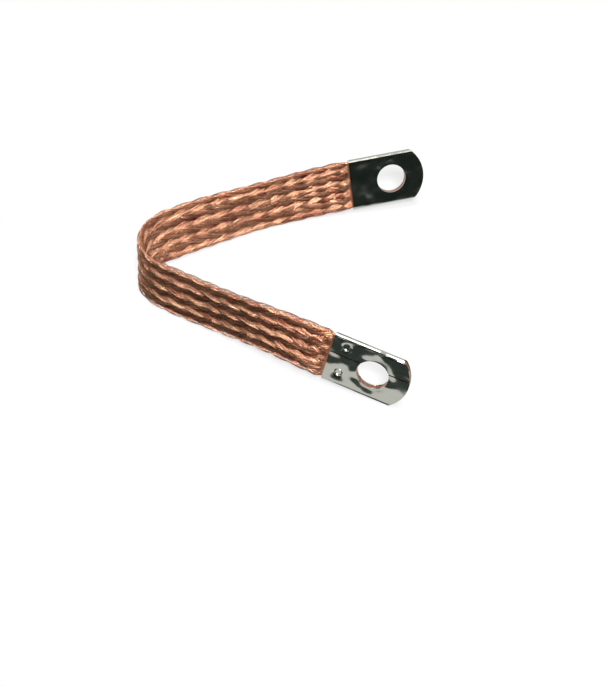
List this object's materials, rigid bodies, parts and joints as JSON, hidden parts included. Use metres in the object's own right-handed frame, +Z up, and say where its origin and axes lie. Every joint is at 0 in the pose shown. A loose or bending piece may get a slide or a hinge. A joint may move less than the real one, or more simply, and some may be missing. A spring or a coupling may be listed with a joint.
{
  "type": "flexible braided earth strap",
  "caption": "Flat woven copper strap bent into a V and standing on its long edge, with a folded plated sheet lug and a round bolt hole at each end, for joining two terminals that move or shake.",
  "frame": {"origin": "on the surface the strap stands on, under the middle of its box", "axes": "+Z up; both bolt holes at +X and the bend at -X; the near lug at -Y and the far lug at +Y"},
  "size_m": [0.1, 0.0958, 0.0207],
  "materials": {
    "bare_copper": "bare copper wire, woven, slightly darkened",
    "plated_sheet": "bright plated thin sheet"
  },
  "bodies": {
    "root": {"braid": "bare_copper", "near_lug": "plated_sheet", "far_lug": "plated_sheet"}
  },
  "joints": []
}
